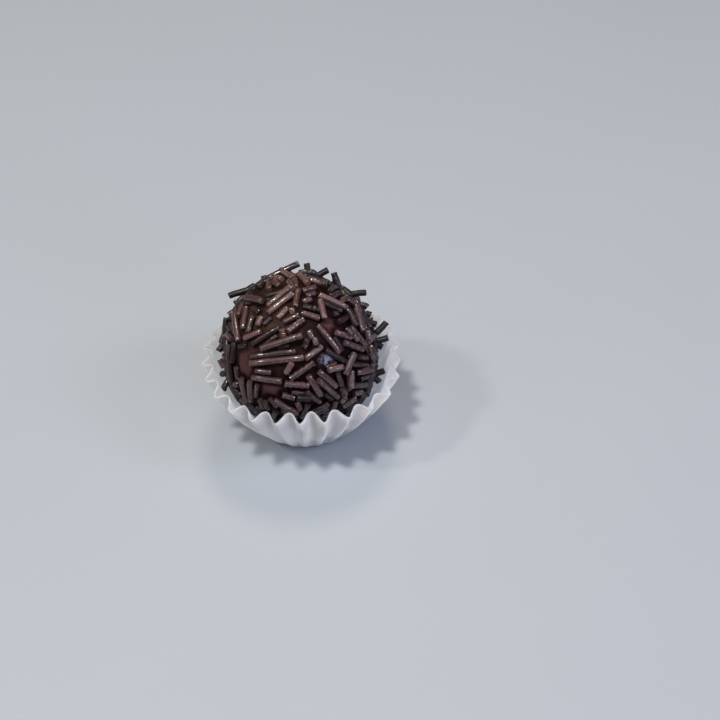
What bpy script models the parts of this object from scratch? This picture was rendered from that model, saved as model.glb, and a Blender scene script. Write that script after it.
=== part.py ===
"""Brigadeiro: a ball of chocolate fudge rolled in chocolate sprinkles, in a pleated paper case.

Metres, +Z up. The origin is the middle of the case's flat base, on the surface that it rests on.
The front is -Y. An azimuth is measured from the front, positive towards +X, and an elevation from
the ball's middle upwards, both in degrees.
"""
import math
import random

import bmesh
import bpy
from mathutils import Vector

MM = 0.001
MERGE_DISTANCE = 0.01 * MM
SHARP_ANGLE = 50.0

# Paper case
PLEATS = 26
SAMPLES_PER_PLEAT = 6
WALL_ROWS = 5
PAPER_THICKNESS = 0.2 * MM
BASE_RADIUS = 12.0 * MM
BASE_RINGS = 2
RIM_RADIUS = 21.6 * MM
CASE_HEIGHT = 18.9 * MM
WALL_BELLY = 0.9 * MM  # how far the wall bows out halfway up
FOLD_DEPTH_FOOT = 0.25 * MM  # from the wall's middle to a fold, at the foot
FOLD_DEPTH_RIM = 1.25 * MM
FOLD_SHARPNESS = 0.12  # outer folds are narrower than inner ones
FIRST_FOLD = -4.3
LEAN_FRONT = 0.9 * MM  # the rim leans out most on this side
LEAN_AZIMUTH = -25.0
OVAL = 0.3 * MM  # the rim is pulled a little oval
OVAL_AZIMUTH = 60.0
RIM_RISE = 0.5 * MM  # the rim stands higher on this side
RISE_AZIMUTH = -40.0
RIM_SAG = 0.45 * MM  # the rim sags and spreads at four corners, 45 degrees off the front
RIM_TOP = CASE_HEIGHT + RIM_RISE + RIM_SAG + 0.6 * MM  # the highest tip of the rim
FOLD_UNEVENNESS = 0.12
FOLD_DRIFT = 0.25  # how far folds wander from even spacing, in radians of a pleat

# Ball
BALL_CENTRE = Vector((-0.6, 0.5, 18.8)) * MM
COAT_RADIUS = 17.4 * MM  # the level that lying sprinkles are sunk in
CORE_SUBDIVISIONS = 4
CLEARANCE = 0.35 * MM
PRESS_STEP = 0.05 * MM

# Where the ball is fuller or flatter than round: azimuth, elevation, height in mm, spread
SWELLS = (
    (-140, 42, 0.8, 35),
    (140, 40, -0.3, 30),
    (58, -28, 0.8, 28),
    (-66, -22, 0.6, 25),
    (0, -90, 1.2, 40),
)

# Sprinkles
SPRINKLE_DIAMETER = 1.35 * MM
SPRINKLE_SIDES = 5
SHORTEST_SPRINKLE = 3.5 * MM
LONGEST_SPRINKLE = 8.5 * MM
LYING_SPRINKLES = 82
SPRINKLE_GAP = 0.35 * MM
END_HEIGHT = 0.1 * MM  # a lying sprinkle's ends, above the coat's level
SCATTER_SEED = 7
SCATTER_TRIES = 6000
LOWEST_ELEVATION = -28.0

# Sprinkles that stick out: azimuth, elevation and height above a round coat in mm, of both ends
PROUD_SPRINKLES = (
    ((-134, 43, 0.2), (-118.5, 32.5, 3.0)),
    ((-130, 40, 0.8), (-137, 43, 0.6)),
    ((-144.5, 45.5, 1.0), (-150, 47.5, 0.7)),
    ((-151, 47.5, 0.6), (-185.5, 51, 2.4)),
    ((-166.5, 50.5, 1.1), (-176, 71.5, 0.4)),
    ((164, 50, 0.0), (166.8, 50, 2.6)),
    ((175, 51, 0.3), (158, 49, 0.7)),
    ((153.5, 48, 0.1), (145.3, 46, 2.1)),
    ((134, 41, -0.2), (140, 44, 1.9)),
    ((131.5, 40, -0.3), (137.3, 43.2, 1.2)),
    ((127, 38.5, -0.3), (118, 34.5, -0.3)),
    ((120.5, 34, -0.2), (114.8, 29, 2.6)),
    ((112, 27, -0.3), (107.5, 23.5, 0.9)),
    ((105, 21, -0.3), (103, 19, 0.6)),
    ((99.5, 15, -0.2), (97.8, 13, 0.95)),
    ((93.5, 8.5, 0.2), (97.4, 12.5, 3.3)),
    ((89.5, 4.5, -0.2), (90.5, 5.2, 2.8)),
    ((89, 3, -0.3), (86.7, 0.5, 1.3)),
    ((72.5, -13, 0.3), (75.6, -10.5, 2.2)),
    ((70.5, -15, 0.5), (69.5, -16.5, 2.0)),
    ((-124, 36.5, 0.4), (-118.5, 34, 0.1)),
    ((-116.5, 33, -0.1), (-118.4, 33, 1.1)),
    ((-107.5, 23.5, 0.9), (-99.5, 15.5, 0.1)),
    ((-112, 27.5, 0.1), (-109.5, 25, 0.6)),
    ((-99, 15, 0.1), (-94, 9.5, 0.5)),
    ((-94.5, 9, -0.1), (-90.3, 5.3, 1.1)),
    ((-86.5, 1.5, 0.9), (-82.5, -3.5, 0.2)),
    ((-86.5, -13.5, 0.2), (-79.8, -7, 1.0)),
    ((-75, -10.5, 0.3), (-71.8, -14, 2.2)),
)


def polar(azimuth, elevation):
    """Unit vector from the ball's middle towards an azimuth and an elevation in degrees."""
    turn = math.radians(azimuth)
    lift = math.radians(elevation)
    return Vector((math.sin(turn) * math.cos(lift), -math.cos(turn) * math.cos(lift), math.sin(lift)))


def make_collection(name):
    """New collection in the scene."""
    collection = bpy.data.collections.new(name)
    bpy.context.scene.collection.children.link(collection)
    return collection


def make_material(name, colour, roughness):
    """Principled material with a plain colour."""
    material = bpy.data.materials.new(name)
    material.use_nodes = True
    material.diffuse_color = (*colour, 1.0)
    shader = material.node_tree.nodes["Principled BSDF"]
    shader.inputs["Base Color"].default_value = (*colour, 1.0)
    shader.inputs["Roughness"].default_value = roughness
    shader.inputs["Metallic"].default_value = 0.0
    return material


def make_object(name, mesh, collection, material=None):
    """New object that carries a mesh, in a collection."""
    created = bpy.data.objects.new(name, mesh)
    collection.objects.link(created)
    if material:
        mesh.materials.append(material)
    return created


def baked_mesh(source):
    """Mesh of an object as its modifiers leave it."""
    graph = bpy.context.evaluated_depsgraph_get()
    return bpy.data.meshes.new_from_object(source.evaluated_get(graph))


def wall_flare(turn):
    """How much further out the rim is than the foot, at an angle from the front in radians."""
    lean = LEAN_FRONT * math.cos(turn - math.radians(LEAN_AZIMUTH))
    oval = OVAL * math.cos(2 * (turn - math.radians(OVAL_AZIMUTH)))
    return RIM_RADIUS - BASE_RADIUS + lean + oval - RIM_SAG * math.cos(4 * turn)


def fold_wave(turn):
    """Height of the pleats' wave at an angle: 1 plus the sharpness on an outer fold."""
    drift = FOLD_DRIFT * (math.sin(2 * turn + 1.0) + 0.6 * math.sin(5 * turn))
    phase = PLEATS * (turn - math.radians(FIRST_FOLD)) + drift
    depth = 1 + FOLD_UNEVENNESS * math.sin(3 * turn + 0.7) * math.cos(5 * turn)
    return depth * (math.cos(phase) + FOLD_SHARPNESS * math.cos(2 * phase))


def wall_place(turn, up, wave):
    """Radius and height of the case's wall, from 0 at the foot to 1 at the rim."""
    flare = wall_flare(turn)
    slope = math.atan2(flare, CASE_HEIGHT)
    depth = wave * (FOLD_DEPTH_FOOT + (FOLD_DEPTH_RIM - FOLD_DEPTH_FOOT) * up)
    rise = RIM_RISE * math.cos(turn - math.radians(RISE_AZIMUTH)) + RIM_SAG * math.cos(4 * turn)
    radius = BASE_RADIUS + flare * up + WALL_BELLY * math.sin(math.pi * up) + depth * math.cos(slope)
    height = (CASE_HEIGHT + rise - depth * math.sin(slope)) * up
    return radius, height


def case_profile():
    """Open outline of half the case at +X, from the rim down to the middle of the base."""
    wall = [(BASE_RADIUS, CASE_HEIGHT * (1 - row / WALL_ROWS)) for row in range(WALL_ROWS)]
    base = [(BASE_RADIUS * (1 - ring / BASE_RINGS), 0.0) for ring in range(BASE_RINGS + 1)]
    points = [Vector((radius, 0.0, height)) for radius, height in wall + base]
    mesh = bpy.data.meshes.new("case_profile")
    mesh.from_pydata(points, [(i, i + 1) for i in range(len(points) - 1)], [])
    return mesh


def build_case(collection):
    """The paper case: a turned cup whose wall is folded into pleats, with the paper's thickness."""
    turned = make_object("turned_case", case_profile(), collection)
    screw = turned.modifiers.new("Turn", "SCREW")
    screw.axis = "Z"
    screw.steps = PLEATS * SAMPLES_PER_PLEAT
    screw.render_steps = screw.steps
    screw.use_merge_vertices = True
    screw.merge_threshold = MERGE_DISTANCE
    mesh = baked_mesh(turned)
    mesh.name = "paper_case"
    bpy.data.objects.remove(turned)

    for vertex in mesh.vertices:
        on_base = vertex.co.xy.length < BASE_RADIUS - MERGE_DISTANCE
        if not on_base:
            turn = math.atan2(vertex.co.x, -vertex.co.y)
            radius, height = wall_place(turn, vertex.co.z / CASE_HEIGHT, fold_wave(turn))
            vertex.co = Vector((radius * math.sin(turn), -radius * math.cos(turn), height))

    paper = make_material("white_paper", (0.62, 0.63, 0.65), 0.75)
    case = make_object("paper_case", mesh, collection, paper)
    solidify = case.modifiers.new("Paper", "SOLIDIFY")
    solidify.thickness = PAPER_THICKNESS
    solidify.offset = -1.0
    mesh.shade_smooth()
    mesh.set_sharp_from_angle(angle=math.radians(SHARP_ANGLE))
    return case


def inside_case(point, margin):
    """Whether a point keeps a margin to the innermost reach of the case's folds and to its base."""
    if point.z < PAPER_THICKNESS + margin:
        return False
    if point.z > RIM_TOP + margin:
        return True
    turn = math.atan2(point.x, -point.y)
    inner_fold = (FOLD_SHARPNESS - 1) * (1 + FOLD_UNEVENNESS)
    radius, _ = wall_place(turn, min(1.0, point.z / CASE_HEIGHT), inner_fold)
    return point.xy.length < radius - PAPER_THICKNESS - margin


def coat_radius(direction):
    """Distance from the ball's middle to the coat's level in a direction."""
    radius = COAT_RADIUS
    for azimuth, elevation, height, spread in SWELLS:
        away = math.degrees(direction.angle(polar(azimuth, elevation)))
        radius += height * MM * math.exp(-((away / spread) ** 2))
    return radius


def press_in(mesh):
    """Move each vertex of a sphere out to the coat's level, or to where the case holds it in."""
    for vertex in mesh.vertices:
        direction = vertex.co.normalized()
        radius = coat_radius(direction)
        while not inside_case(BALL_CENTRE + radius * direction, CLEARANCE):
            radius -= PRESS_STEP
        vertex.co = BALL_CENTRE + radius * direction


def on_coat(direction, height):
    """Point at a height above the coat's level."""
    return BALL_CENTRE + (coat_radius(direction) + height) * direction


def along(start, end, count=6):
    """Evenly spaced points from one end of a sprinkle to the other."""
    return [start.lerp(end, i / (count - 1)) for i in range(count)]


def is_clear(points, laid):
    """Whether a sprinkle's points keep off all that are laid already."""
    reach = SPRINKLE_DIAMETER + SPRINKLE_GAP
    return all((point - other).length > reach for point in points for rod in laid for other in rod)


def scatter_sprinkles(laid):
    """Add sprinkles that lie flat on the coat at random, clear of each other and of the case."""
    chance = random.Random(SCATTER_SEED)
    count = 0
    for _ in range(SCATTER_TRIES):
        height = chance.uniform(math.sin(math.radians(LOWEST_ELEVATION)), 1.0)
        middle = polar(chance.uniform(-180, 180), math.degrees(math.asin(height)))
        heading = middle.orthogonal().normalized()
        across = middle.cross(heading)
        spin = chance.uniform(0, math.tau)
        half = chance.uniform(SHORTEST_SPRINKLE, LONGEST_SPRINKLE) / 2 / COAT_RADIUS
        lay = half * (math.cos(spin) * heading + math.sin(spin) * across)
        ends = [on_coat((middle + side * lay).normalized(), END_HEIGHT) for side in (-1, 1)]
        points = along(*ends)
        if not all(inside_case(point, SPRINKLE_DIAMETER / 2 + CLEARANCE) for point in points):
            continue
        if is_clear(points, laid):
            laid.append(points)
            count += 1
        if count == LYING_SPRINKLES:
            break


def add_rod(shape, start, end):
    """Add a closed rod between two points."""
    axis = end - start
    place = axis.to_track_quat("Z", "Y").to_matrix().to_4x4()
    place.translation = (start + end) / 2
    bmesh.ops.create_cone(
        shape,
        cap_ends=True,
        segments=SPRINKLE_SIDES,
        radius1=SPRINKLE_DIAMETER / 2,
        radius2=SPRINKLE_DIAMETER / 2,
        depth=axis.length,
        matrix=place,
    )


def build_sprinkles(cutters):
    """All the sprinkles that show as forms of the coat, as one guide object."""
    laid = []
    for ends in PROUD_SPRINKLES:
        tips = [
            BALL_CENTRE + (COAT_RADIUS + height * MM) * polar(azimuth, elevation)
            for azimuth, elevation, height in ends
        ]
        laid.append(along(*tips))
    scatter_sprinkles(laid)
    shape = bmesh.new()
    for points in laid:
        add_rod(shape, points[0], points[-1])
    mesh = bpy.data.meshes.new("sprinkles")
    shape.to_mesh(mesh)
    shape.free()
    guide = make_object("sprinkles", mesh, cutters)
    guide.hide_render = True
    guide.display_type = "WIRE"
    return guide


def build_ball(collection, cutters):
    """The fudge ball with its coat: a pressed sphere joined with its sprinkles."""
    shape = bmesh.new()
    bmesh.ops.create_icosphere(shape, subdivisions=CORE_SUBDIVISIONS, radius=COAT_RADIUS)
    mesh = bpy.data.meshes.new("coated_ball")
    shape.to_mesh(mesh)
    shape.free()
    press_in(mesh)
    chocolate = make_material("dark_chocolate", (0.062, 0.036, 0.03), 0.5)
    ball = make_object("coated_ball", mesh, collection, chocolate)
    join = ball.modifiers.new("Sprinkles", "BOOLEAN")
    join.operation = "UNION"
    join.solver = "EXACT"
    join.use_self = True
    join.object = build_sprinkles(cutters)
    return ball


def main():
    """Clear the scene and build the brigadeiro."""
    for leftover in list(bpy.data.objects):
        bpy.data.objects.remove(leftover)
    collection = make_collection("brigadeiro")
    cutters = make_collection("cutters")
    build_case(collection)
    build_ball(collection, cutters)


main()
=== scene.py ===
"""Looks of a brigadeiro: a fudge ball coated with chocolate sprinkles, in a pleated paper case.

The classes hold sizes in millimetres and degrees. An azimuth is measured from the front, -Y,
positive towards +X, and an elevation from the ball's middle upwards.
"""
import logging
import math
from collections.abc import Callable, Mapping, Sequence
from dataclasses import dataclass, field
from enum import Enum
from typing import Any

import bmesh
import bpy
import numpy as np
from mathutils import Matrix, Vector, kdtree, noise


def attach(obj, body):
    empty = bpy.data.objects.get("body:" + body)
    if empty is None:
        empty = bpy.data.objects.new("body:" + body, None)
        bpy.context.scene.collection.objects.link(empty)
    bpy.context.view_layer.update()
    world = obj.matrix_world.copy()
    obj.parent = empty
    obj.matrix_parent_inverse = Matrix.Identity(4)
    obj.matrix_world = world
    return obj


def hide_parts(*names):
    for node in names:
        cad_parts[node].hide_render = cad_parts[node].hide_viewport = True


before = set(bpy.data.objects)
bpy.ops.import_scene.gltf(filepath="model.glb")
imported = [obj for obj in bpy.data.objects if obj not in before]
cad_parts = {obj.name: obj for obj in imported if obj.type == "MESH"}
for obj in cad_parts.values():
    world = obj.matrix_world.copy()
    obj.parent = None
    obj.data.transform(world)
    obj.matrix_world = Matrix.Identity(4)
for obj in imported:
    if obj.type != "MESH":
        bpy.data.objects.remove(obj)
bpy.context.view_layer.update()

MM = 0.001
PER_METRE = 1000.0  # millimetres in a metre, for patterns on Object coordinates
BODY = "root"
VECTOR = "FLOAT_VECTOR"  # Blender's name for a stored vector
log = logging.getLogger("brigadeiro")

Array = np.ndarray
Triple = tuple[float, float, float]  # a colour, a place or a scale along each axis
Span = tuple[float, float]  # two ends or two limits


# ---- node trees


def maths(operation: str, backwards: bool = False) -> Callable[..., "Signal"]:
    """Make a method of Signal that adds a Math node.

    Args:
        operation: Blender's name of the operation.
        backwards: Whether the signal goes in last instead of first.

    Returns:
        The method, which takes the node's other values.
    """

    def method(self: "Signal", *others: "Signal | float") -> "Signal":
        """Result of the Math node."""
        values = (*others, self) if backwards else (self, *others)
        return self.board.add("ShaderNodeMath", dict(enumerate(values)), operation=operation)

    return method


class Signal:
    """An output socket of a node tree, on which arithmetic adds Math nodes."""

    __add__ = __radd__ = maths("ADD")
    __mul__ = __rmul__ = maths("MULTIPLY")
    __sub__ = maths("SUBTRACT")
    __rsub__ = maths("SUBTRACT", backwards=True)
    __truediv__ = maths("DIVIDE")
    __rtruediv__ = maths("DIVIDE", backwards=True)
    __pow__ = maths("POWER")
    sin = maths("SINE")
    cos = maths("COSINE")
    arctan2 = maths("ARCTAN2")
    least = maths("MINIMUM")
    size = maths("ABSOLUTE")
    above = maths("GREATER_THAN")

    def __init__(self, board: "Board", socket: bpy.types.NodeSocket) -> None:
        """Wrap an output socket of a board."""
        self.board = board
        self.socket = socket

    def __getitem__(self, name: str) -> "Signal":
        """Another output of the same node, by name."""
        return Signal(self.board, self.socket.node.outputs[name])

    def ease(self, low: float, high: float) -> "Signal":
        """Smooth step from 0 at low to 1 at high."""
        sockets = {"Value": self, "From Min": low, "From Max": high}
        return self.board.add("ShaderNodeMapRange", sockets, interpolation_type="SMOOTHSTEP")


class Board:
    """A node tree that is being wired."""

    def __init__(self, tree: bpy.types.NodeTree) -> None:
        """Wrap a tree, and start from no nodes."""
        self.tree = tree
        tree.nodes.clear()

    def add(self, kind: str, sockets: Mapping[Any, Any] | None = None, **settings: Any) -> Signal:
        """Add a node.

        Args:
            kind: The node's type.
            sockets: What goes into its inputs, by name or number: a Signal or a plain value.
            settings: Its settings, which are set before its sockets. "stops" are a colour ramp's
                places and colours.

        Returns:
            Its first shown output, or a Signal on its first input if it has no output.
        """
        node = self.tree.nodes.new(kind)
        for name, value in settings.items():
            if name == "stops":
                self._set_stops(node.color_ramp, value)
            else:
                setattr(node, name, value)
        for name, value in (sockets or {}).items():
            socket = node.inputs[name]
            if isinstance(value, Signal):
                self.tree.links.new(value.socket, socket)
            else:
                socket.default_value = value
        shown = [socket for socket in node.outputs if socket.enabled]
        return Signal(self, shown[0] if shown else node.inputs[0])

    @staticmethod
    def _set_stops(ramp: bpy.types.ColorRamp, stops: Sequence[tuple[float, Triple]]) -> None:
        """Give a colour ramp its stops.

        Args:
            ramp: The ramp.
            stops: Places from 0 to 1 and their colours.
        """
        while len(ramp.elements) < len(stops):
            ramp.elements.new(0.5)
        for element, (place, colour) in zip(ramp.elements, stops, strict=True):
            element.position = place
            element.color = (*colour, 1.0)

    def vector(self, operation: str, *values: Any, scale: "Signal | float | None" = None) -> Signal:
        """Result of a Vector Math node with these vectors, or with one and a scale."""
        sockets = dict(enumerate(values)) | ({} if scale is None else {"Scale": scale})
        return self.add("ShaderNodeVectorMath", sockets, operation=operation)

    def split(self, vector: Signal) -> Signal:
        """Parts of a vector, to be taken as X, Y and Z."""
        return self.add("ShaderNodeSeparateXYZ", {0: vector})

    def join(self, *parts: "Signal | float") -> Signal:
        """Vector made of its X, Y and Z."""
        return self.add("ShaderNodeCombineXYZ", dict(enumerate(parts)))

    def blend(self, factor: "Signal | float", first: Any, second: Any, mode: str = "MIX") -> Signal:
        """Mix two colours.

        Args:
            factor: 0 for the first, 1 for the second.
            first: A colour or a Signal.
            second: A colour or a Signal.
            mode: Blender's name of the blend mode.

        Returns:
            The mixed colour.
        """
        ends = [(*end, 1.0) if isinstance(end, tuple) else end for end in (first, second)]
        sockets = {0: factor, 6: ends[0], 7: ends[1]}  # 6 and 7 are the two colours
        return self.add("ShaderNodeMix", sockets, data_type="RGBA", blend_type=mode, clamp_factor=True)

    def cloud(self, where: Signal, scale: float, detail: float = 2.0, roughness: float = 0.5) -> Signal:
        """Noise from 0 to 1.

        Args:
            where: Coordinates.
            scale: Lumps for each unit of the coordinates.
            detail: Octaves.
            roughness: Strength of the finer octaves.

        Returns:
            The noise.
        """
        sockets = {"Vector": where, "Scale": scale, "Detail": detail, "Roughness": roughness}
        return self.add("ShaderNodeTexNoise", sockets)


class MaterialBoard(Board):
    """The node tree of a material."""

    def __init__(self, name: str) -> None:
        """Start a material.

        Args:
            name: Its name.
        """
        self.material = bpy.data.materials.new(name)
        self.material.use_nodes = True
        super().__init__(self.material.node_tree)

    def place(self) -> Signal:
        """Object coordinates in millimetres."""
        return self.vector("SCALE", self.add("ShaderNodeTexCoord")["Object"], scale=PER_METRE)

    def upper_left(self, heights: Span, sides: Span) -> Signal:
        """1 at the upper left and 0 elsewhere, eased over a span of Z and one of X in millimetres: where
        the painted warm light goes.
        """
        at = self.split(self.place())
        return at["Z"].ease(*heights) * (1 - at["X"].ease(*sides))

    def attribute(self, name: str, output: str = "Fac") -> Signal:
        """Values that the mesh stores under a name."""
        return self.add("ShaderNodeAttribute", attribute_name=name)[output]

    def relief(self, height: Signal, depth: float, strength: float = 1.0) -> Signal:
        """Normal for a height from 0 to 1, where 1 stands for a depth in millimetres."""
        sockets = {"Height": height, "Distance": depth * MM, "Strength": strength}
        return self.add("ShaderNodeBump", sockets)

    def close(self, sockets: Mapping[str, Any]) -> bpy.types.Material:
        """Finish with a Principled shader.

        Args:
            sockets: What goes into its sockets.

        Returns:
            The material.
        """
        shader = self.add("ShaderNodeBsdfPrincipled", sockets)
        self.add("ShaderNodeOutputMaterial", {"Surface": shader})
        return self.material


class GeometryBoard(Board):
    """A Geometry Nodes tree with named inputs."""

    KINDS = {float: "NodeSocketFloat", int: "NodeSocketInt"}

    def __init__(self, name: str, inputs: Mapping[str, float | int]) -> None:
        """Start a tree.

        Args:
            name: The tree's name.
            inputs: Named sizes and their values; a Material input is always there.
        """
        super().__init__(bpy.data.node_groups.new(name, "GeometryNodeTree"))
        self.values = dict(inputs)
        kinds = {label: self.KINDS[type(value)] for label, value in inputs.items()}
        kinds = {"Geometry": "NodeSocketGeometry", **kinds, "Material": "NodeSocketMaterial"}
        for label, kind in kinds.items():
            self.tree.interface.new_socket(label, in_out="INPUT", socket_type=kind)
        self.tree.interface.new_socket("Geometry", in_out="OUTPUT", socket_type=kinds["Geometry"])
        self.source = self.add("NodeGroupInput")

    def input(self, name: str) -> Signal:
        """A named input of the tree."""
        return self.source[name]

    def position(self) -> Signal:
        """Where each point is."""
        return self.add("GeometryNodeInputPosition")

    def keep(self, geometry: Signal, name: str, value: Signal, kind: str = "FLOAT") -> Signal:
        """Store a value on the points of a geometry under a name."""
        sockets = {0: geometry, "Name": name, "Value": value}
        return self.add("GeometryNodeStoreNamedAttribute", sockets, data_type=kind, domain="POINT")

    def recall(self, name: str, kind: str = "FLOAT") -> Signal:
        """Read a value that is stored under a name."""
        return self.add("GeometryNodeInputNamedAttribute", {"Name": name}, data_type=kind)

    def nudge(self, cloud: Signal, reach: Signal) -> Signal:
        """Vector out of a cloud's colours, up to half of a reach either way along each axis."""
        return self.vector("SCALE", self.vector("SUBTRACT", cloud["Color"], (0.5, 0.5, 0.5)), scale=reach)

    def move(self, geometry: Signal, position: Signal) -> Signal:
        """Geometry with its points at new positions."""
        return self.add("GeometryNodeSetPosition", {"Geometry": geometry, "Position": position})

    def close(self, geometry: Signal) -> None:
        """Make the geometry real, give it the material and send it out.

        Args:
            geometry: What the tree has built.
        """
        real = self.add("GeometryNodeRealizeInstances", {0: geometry})
        sockets = {"Geometry": real, "Material": self.input("Material")}
        self.add("NodeGroupOutput", {0: self.add("GeometryNodeSetMaterial", sockets)})

    def grow(
        self, name: str, source: bpy.types.Mesh, material: bpy.types.Material, shell: float = 0.0
    ) -> bpy.types.Object:
        """Run the tree on a mesh.

        Args:
            name: Name of the piece.
            source: The mesh that goes in.
            material: The piece's finish.
            shell: Thickness to give the surface inwards, in metres, or 0.

        Returns:
            The piece, with a plain mesh.
        """
        carrier = new_object(name + "_source", source)
        modifier = carrier.modifiers.new("Grow", "NODES")
        modifier.node_group = self.tree
        inputs = (item for item in self.tree.interface.items_tree if item.in_out == "INPUT")
        identifiers = {item.name: item.identifier for item in inputs}
        for label, value in (*self.values.items(), ("Material", material)):
            modifier[identifiers[label]] = value
        if shell:
            solidify = carrier.modifiers.new("Paper", "SOLIDIFY")
            solidify.thickness = shell
            solidify.offset = -1.0
        graph = bpy.context.evaluated_depsgraph_get()
        mesh = bpy.data.meshes.new_from_object(carrier.evaluated_get(graph))
        mesh.name = name
        bpy.data.objects.remove(carrier)
        return new_object(name, mesh)


def new_object(name: str, data: bpy.types.ID) -> bpy.types.Object:
    """Put a new object in the scene.

    Args:
        name: Its name.
        data: The mesh, light or camera that it carries.

    Returns:
        The object.
    """
    created = bpy.data.objects.new(name, data)
    bpy.context.scene.collection.objects.link(created)
    return created


def store(mesh: bpy.types.Mesh, kind: str, part: str, values: Mapping[str, Any]) -> None:
    """Store values on a mesh's points.

    Args:
        mesh: The mesh.
        kind: Blender's name for the kind of value.
        part: The name that the kind's values have in each point: "value" or "vector".
        values: A value for each point, by the names that they are stored under.
    """
    for name, each in values.items():
        stored = mesh.attributes.new(name, kind, "POINT")
        stored.data.foreach_set(part, np.array(each, np.float32).ravel())


def sine(angle: Any) -> Any:
    """Sine of an array or of a Signal, in radians."""
    return angle.sin() if isinstance(angle, Signal) else np.sin(angle)


def cosine(angle: Any) -> Any:
    """Cosine of an array or of a Signal, in radians."""
    return angle.cos() if isinstance(angle, Signal) else np.cos(angle)


# ---- finishes


@dataclass(frozen=True)
class FudgeFinish:
    """Cooked chocolate fudge: dark and soft, with painted shade in the gaps between strands, painted warm
    light at the upper left and a wet patch.
    """

    # painted shade: the near-black colour that the fudge takes in the gaps near the strands
    gap_shade: Triple = (0.0055, 0.0009, 0.0013)
    warm: Triple = (0.060, 0.0255, 0.0250)
    # painted warm light: the golden olive colour laid on the fudge at the upper left
    fudge_warm_light: Triple = (0.0380, 0.0195, 0.0135)
    patch_scale: float = 0.22  # how many patches, pores, sheens and drops there are in a millimetre
    pore_scale: float = 2.6
    sheen_scale: float = 0.5
    drop_scale: float = 1.5
    fudge_light_heights: Span = (24.0, 33.0)
    fudge_light_sides: Span = (-7.0, 4.0)
    roughness: float = 0.62
    smoother: float = 0.22  # how much less rough open fudge is
    pore_depth: float = 0.12

    def material(self) -> bpy.types.Material:
        """Build the material.

        Returns:
            The material.
        """
        board = MaterialBoard("fudge")
        spot = board.place()
        patches = board.cloud(spot, self.patch_scale, 3.0).ease(0.35, 0.65)
        pores = board.cloud(spot, self.pore_scale, 4.0, 0.62)
        # How free of painted shade the fudge is: 0 near the strands, 1 in the open
        unshaded = board.attribute("open") * (patches * 0.25 + pores * 0.3 + 0.6)
        colour = board.blend(unshaded.least(1.0), self.gap_shade, self.warm)
        # Painted warm light on the upper left of the fudge, in blotches
        lit_share = board.upper_left(self.fudge_light_heights, self.fudge_light_sides) * (patches * 0.5 + 0.4)
        colour = board.blend(lit_share, colour, self.fudge_warm_light)
        sheen = board.cloud(spot, self.sheen_scale)
        return board.close(
            {
                "Base Color": colour,
                "Roughness": self.roughness - unshaded.least(1.0) * self.smoother + (sheen - 0.5) * 0.2,
                "Specular IOR Level": 0.06,
                "Coat Weight": board.attribute("wet") * board.cloud(spot, self.drop_scale).ease(0.38, 0.54),
                "Coat Roughness": 0.30,
                "Coat IOR": 2.0,
                "Normal": board.relief(pores, self.pore_depth, 0.8),
            }
        )


@dataclass(frozen=True)
class SprinkleFinish:
    """Pressed chocolate strands, each its own brown, with grooves, pits and a dusty sheen; painted shade in
    the pits, painted cool light on the right and painted warm light at the upper left.
    """

    # The browns, and where each is on the scale of tones
    browns: tuple[tuple[float, Triple], ...] = (
        (0.05, (0.0110, 0.0085, 0.0085)),
        (0.22, (0.0070, 0.0016, 0.0022)),
        (0.42, (0.0280, 0.0118, 0.0122)),
        (0.75, (0.0850, 0.0420, 0.0365)),
        (1.0, (0.172, 0.1030, 0.0880)),
    )
    # How tight the streaks, specks and pits are, twice across a strand and once along it
    streak: Triple = (4.6, 4.6, 0.35)
    speck: Triple = (1.6, 1.6, 2.2)
    pit: Triple = (2.4, 2.4, 3.2)
    # painted shade: how much darker a strand is in its pits
    pit_shade: Triple = (0.40, 0.36, 0.36)
    # The strands' hue on the left; painted cool light turns them bluish purple towards the right, over a
    # span of X in millimetres
    left_tint: Triple = (1.0, 0.96, 1.02)
    cool_light_tint: Triple = (0.95, 0.94, 1.14)
    # painted warm light: a golden tint on the strands at the upper left
    warm_light_tint: Triple = (1.05, 1.0, 0.86)
    cool_light_span: Span = (0.0, 12.0)
    warm_light_heights: Span = (27.0, 37.0)
    warm_light_sides: Span = (-3.0, 8.0)
    groove_depth: float = 0.13

    def material(self) -> bpy.types.Material:
        """Build the material.

        Returns:
            The material.
        """
        board = MaterialBoard("sprinkle")
        grain, tone = board.attribute("grain", "Vector"), board.attribute("tone")
        streaks = board.cloud(board.vector("MULTIPLY", grain, self.streak), 1.0, 3.0, 0.6)
        specks = board.cloud(board.vector("MULTIPLY", grain, self.speck), 1.5, 3.0, 0.65)
        pits = board.cloud(board.vector("MULTIPLY", grain, self.pit), 1.5, 2.0, 0.6)
        shade = tone + (streaks - 0.5) * 1.1 + (specks - 0.5) * 0.9
        base = board.add("ShaderNodeValToRGB", {"Fac": shade}, stops=self.browns)
        # Painted shade in the low pits
        base = board.blend(pits.ease(0.36, 0.50), board.vector("MULTIPLY", base, self.pit_shade), base)
        # Painted cool light towards the right side
        right = board.split(board.place())["X"].ease(*self.cool_light_span)
        tint = board.blend(right, self.left_tint, self.cool_light_tint)
        # Painted warm light at the upper left
        warm_lit = board.upper_left(self.warm_light_heights, self.warm_light_sides)
        tint = board.blend(warm_lit, tint, self.warm_light_tint)
        return board.close(
            {
                "Base Color": board.blend(1.0, base, tint, "MULTIPLY"),
                "Roughness": 0.25 + specks * 0.28,
                "Specular IOR Level": 0.26,
                "Coat Weight": specks.ease(0.48, 0.60) * tone.ease(0.05, 0.6),
                "Coat Roughness": 0.11,
                "Coat IOR": 2.1,
                "Normal": board.relief(streaks * 0.4 + specks * 0.3 + pits * 0.3, self.groove_depth),
            }
        )


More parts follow.
